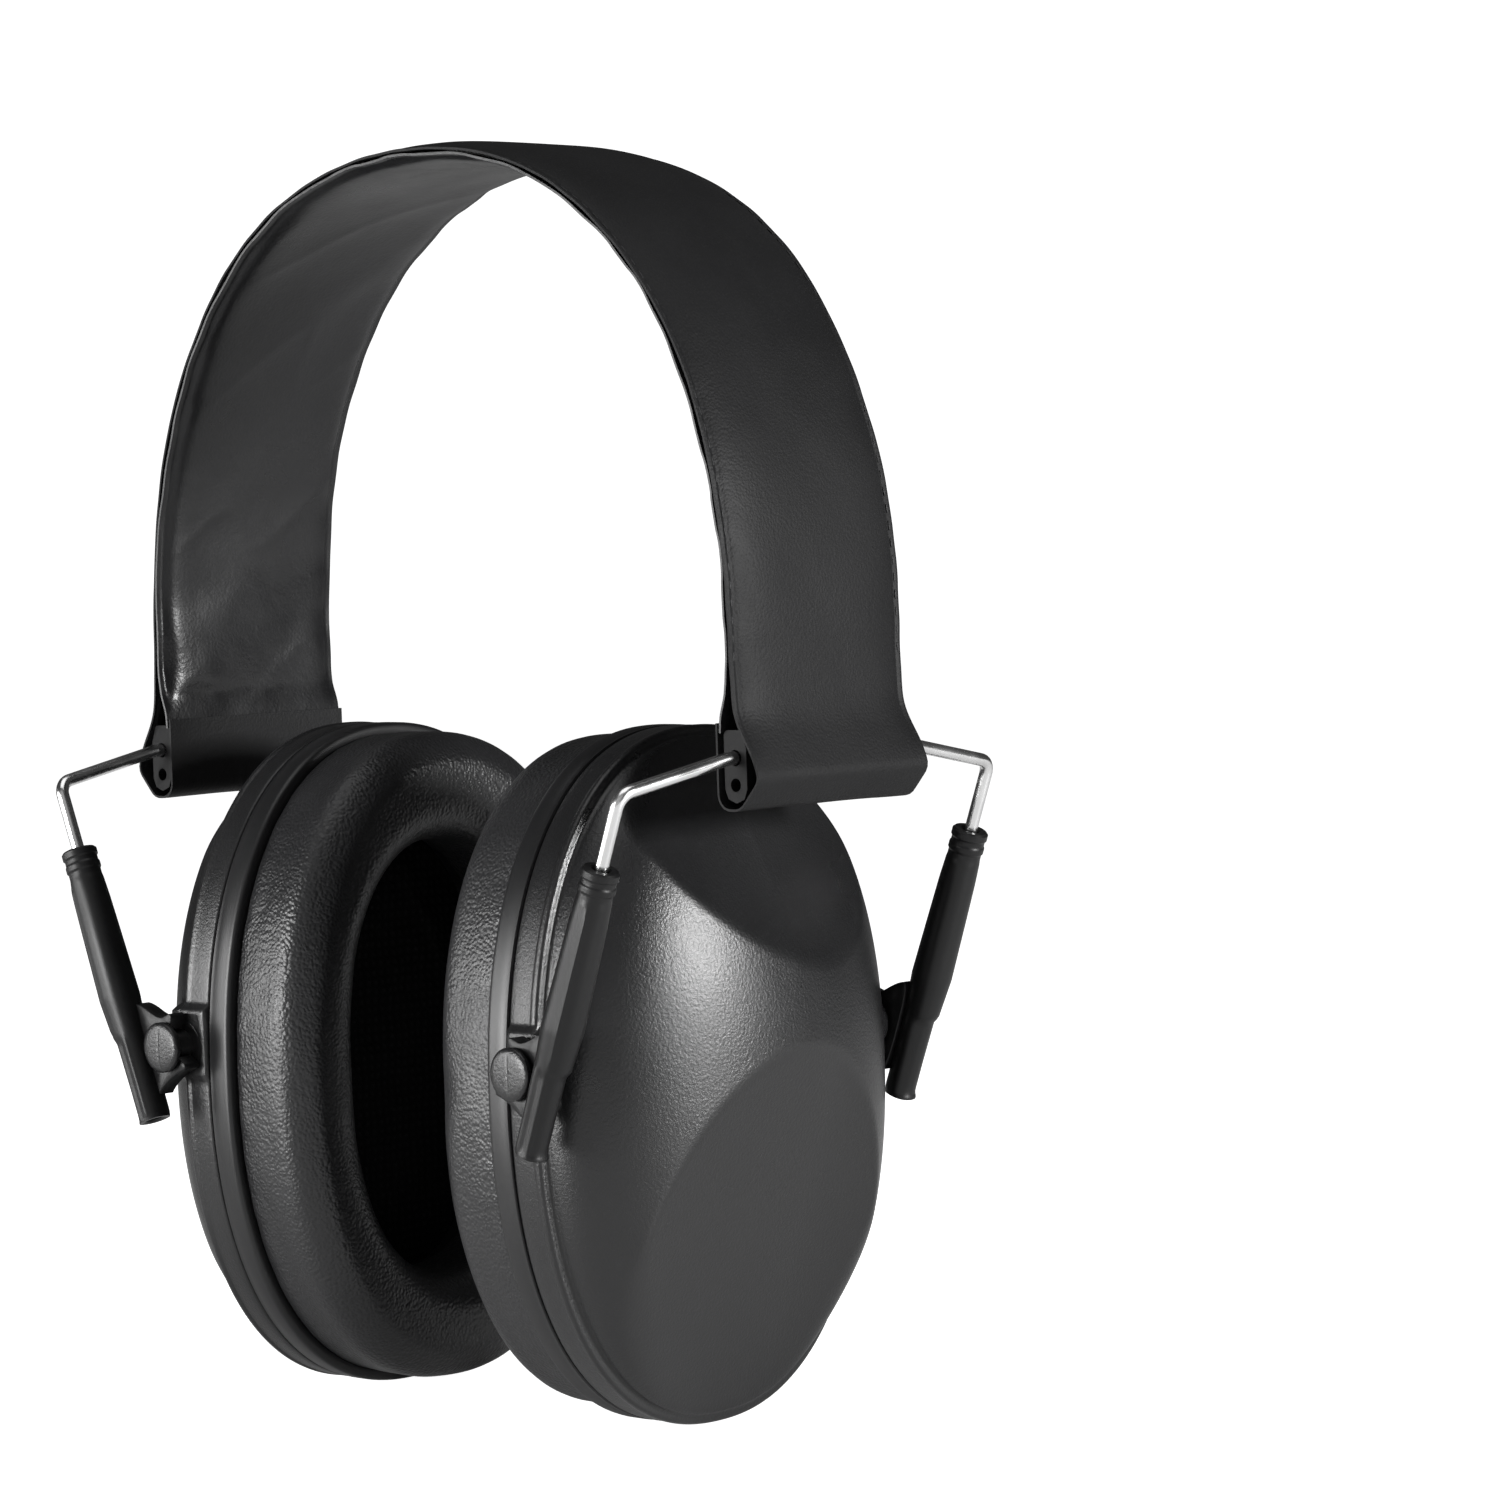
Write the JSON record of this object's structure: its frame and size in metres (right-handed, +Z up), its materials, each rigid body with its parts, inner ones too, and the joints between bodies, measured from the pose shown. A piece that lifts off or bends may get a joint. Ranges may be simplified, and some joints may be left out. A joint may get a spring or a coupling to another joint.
{
  "type": "folding hearing protection earmuffs",
  "caption": "Passive hearing protection earmuffs: a padded sprung headband with fold-in wire yokes, sliding arms and oval ear cups with soft ring cushions.",
  "frame": {"origin": "middle of the underside, level with the lowest points of the two ear cups, on the plane between left and right and between front and back", "axes": "+Z up towards the crown of the headband, +X towards the wearer's left cup, -Y the way the wearer faces"},
  "size_m": [0.1358, 0.087, 0.1943],
  "materials": {
    "sleeve": "semi-gloss black leatherette",
    "padding": "soft foam strip",
    "spring": "sprung steel strip",
    "block": "moulded black nylon",
    "rivet": "flush steel rivet",
    "wire": "bright stainless wire",
    "arm": "satin black nylon",
    "shell": "fine-textured charcoal moulding",
    "backplate": "smooth black moulding",
    "skin": "pebbled black leatherette",
    "cushion_foam": "soft open-cell foam",
    "cover": "thin black acoustic cloth",
    "acoustic": "dark acoustic foam"
  },
  "bodies": {
    "headband": {"headband_sleeve": "sleeve", "headband_padding": "padding", "headband_spring": "spring", "left_end_block": "block", "left_front_rivet": "rivet", "left_rear_rivet": "rivet", "right_end_block": "block", "right_front_rivet": "rivet", "right_rear_rivet": "rivet"},
    "left_yoke": {"left_wire_yoke": "wire"},
    "left_front_arm": {"left_front_arm": "arm"},
    "left_rear_arm": {"left_rear_arm": "arm"},
    "left_cup": {"left_cup_shell": "shell", "left_backplate": "backplate", "left_cushion_skin": "skin", "left_cushion_foam": "cushion_foam", "left_cover_sheet": "cover", "left_acoustic_foam": "acoustic"},
    "right_yoke": {"right_wire_yoke": "wire"},
    "right_front_arm": {"right_front_arm": "arm"},
    "right_rear_arm": {"right_rear_arm": "arm"},
    "right_cup": {"right_cup_shell": "shell", "right_backplate": "backplate", "right_cushion_skin": "skin", "right_cushion_foam": "cushion_foam", "right_cover_sheet": "cover", "right_acoustic_foam": "acoustic"}
  },
  "joints": [
    {"name": "left_fold", "type": "hinge", "parent": "headband", "child": "left_yoke", "pos_m": [0.063, 0, 0.10125], "axis": [0, 1, 0], "range_deg": [-15, 104.5]},
    {"name": "left_front_slide", "type": "slide", "parent": "left_yoke", "child": "left_front_arm", "axis": [-0.3584, 0, -0.9336], "range_m": [-0.0085, 0.0005]},
    {"name": "left_rear_slide", "type": "slide", "parent": "left_yoke", "child": "left_rear_arm", "axis": [-0.3584, 0, -0.9336], "range_m": [-0.0085, 0.0005]},
    {"name": "left_cup_tilt", "type": "hinge", "parent": "left_front_arm", "child": "left_cup", "pos_m": [0.03844, -0.0388, 0.0568], "axis": [0, 1, 0], "range_deg": [-105, 16]},
    {"name": "right_fold", "type": "hinge", "parent": "headband", "child": "right_yoke", "pos_m": [-0.063, 0, 0.10125], "axis": [0, -1, 0], "range_deg": [-15, 104.5]},
    {"name": "right_front_slide", "type": "slide", "parent": "right_yoke", "child": "right_front_arm", "axis": [0.3584, 0, -0.9336], "range_m": [-0.0085, 0.0005]},
    {"name": "right_rear_slide", "type": "slide", "parent": "right_yoke", "child": "right_rear_arm", "axis": [0.3584, 0, -0.9336], "range_m": [-0.0085, 0.0005]},
    {"name": "right_cup_tilt", "type": "hinge", "parent": "right_front_arm", "child": "right_cup", "pos_m": [-0.03844, -0.0388, 0.0568], "axis": [0, -1, 0], "range_deg": [-105, 16]}
  ],
  "couplings": [
    {"joint": "left_rear_slide", "follows": "left_front_slide", "ratio": 1},
    {"joint": "left_cup_tilt", "follows": "left_fold", "ratio": -1},
    {"joint": "right_rear_slide", "follows": "right_front_slide", "ratio": 1},
    {"joint": "right_cup_tilt", "follows": "right_fold", "ratio": -1}
  ]
}
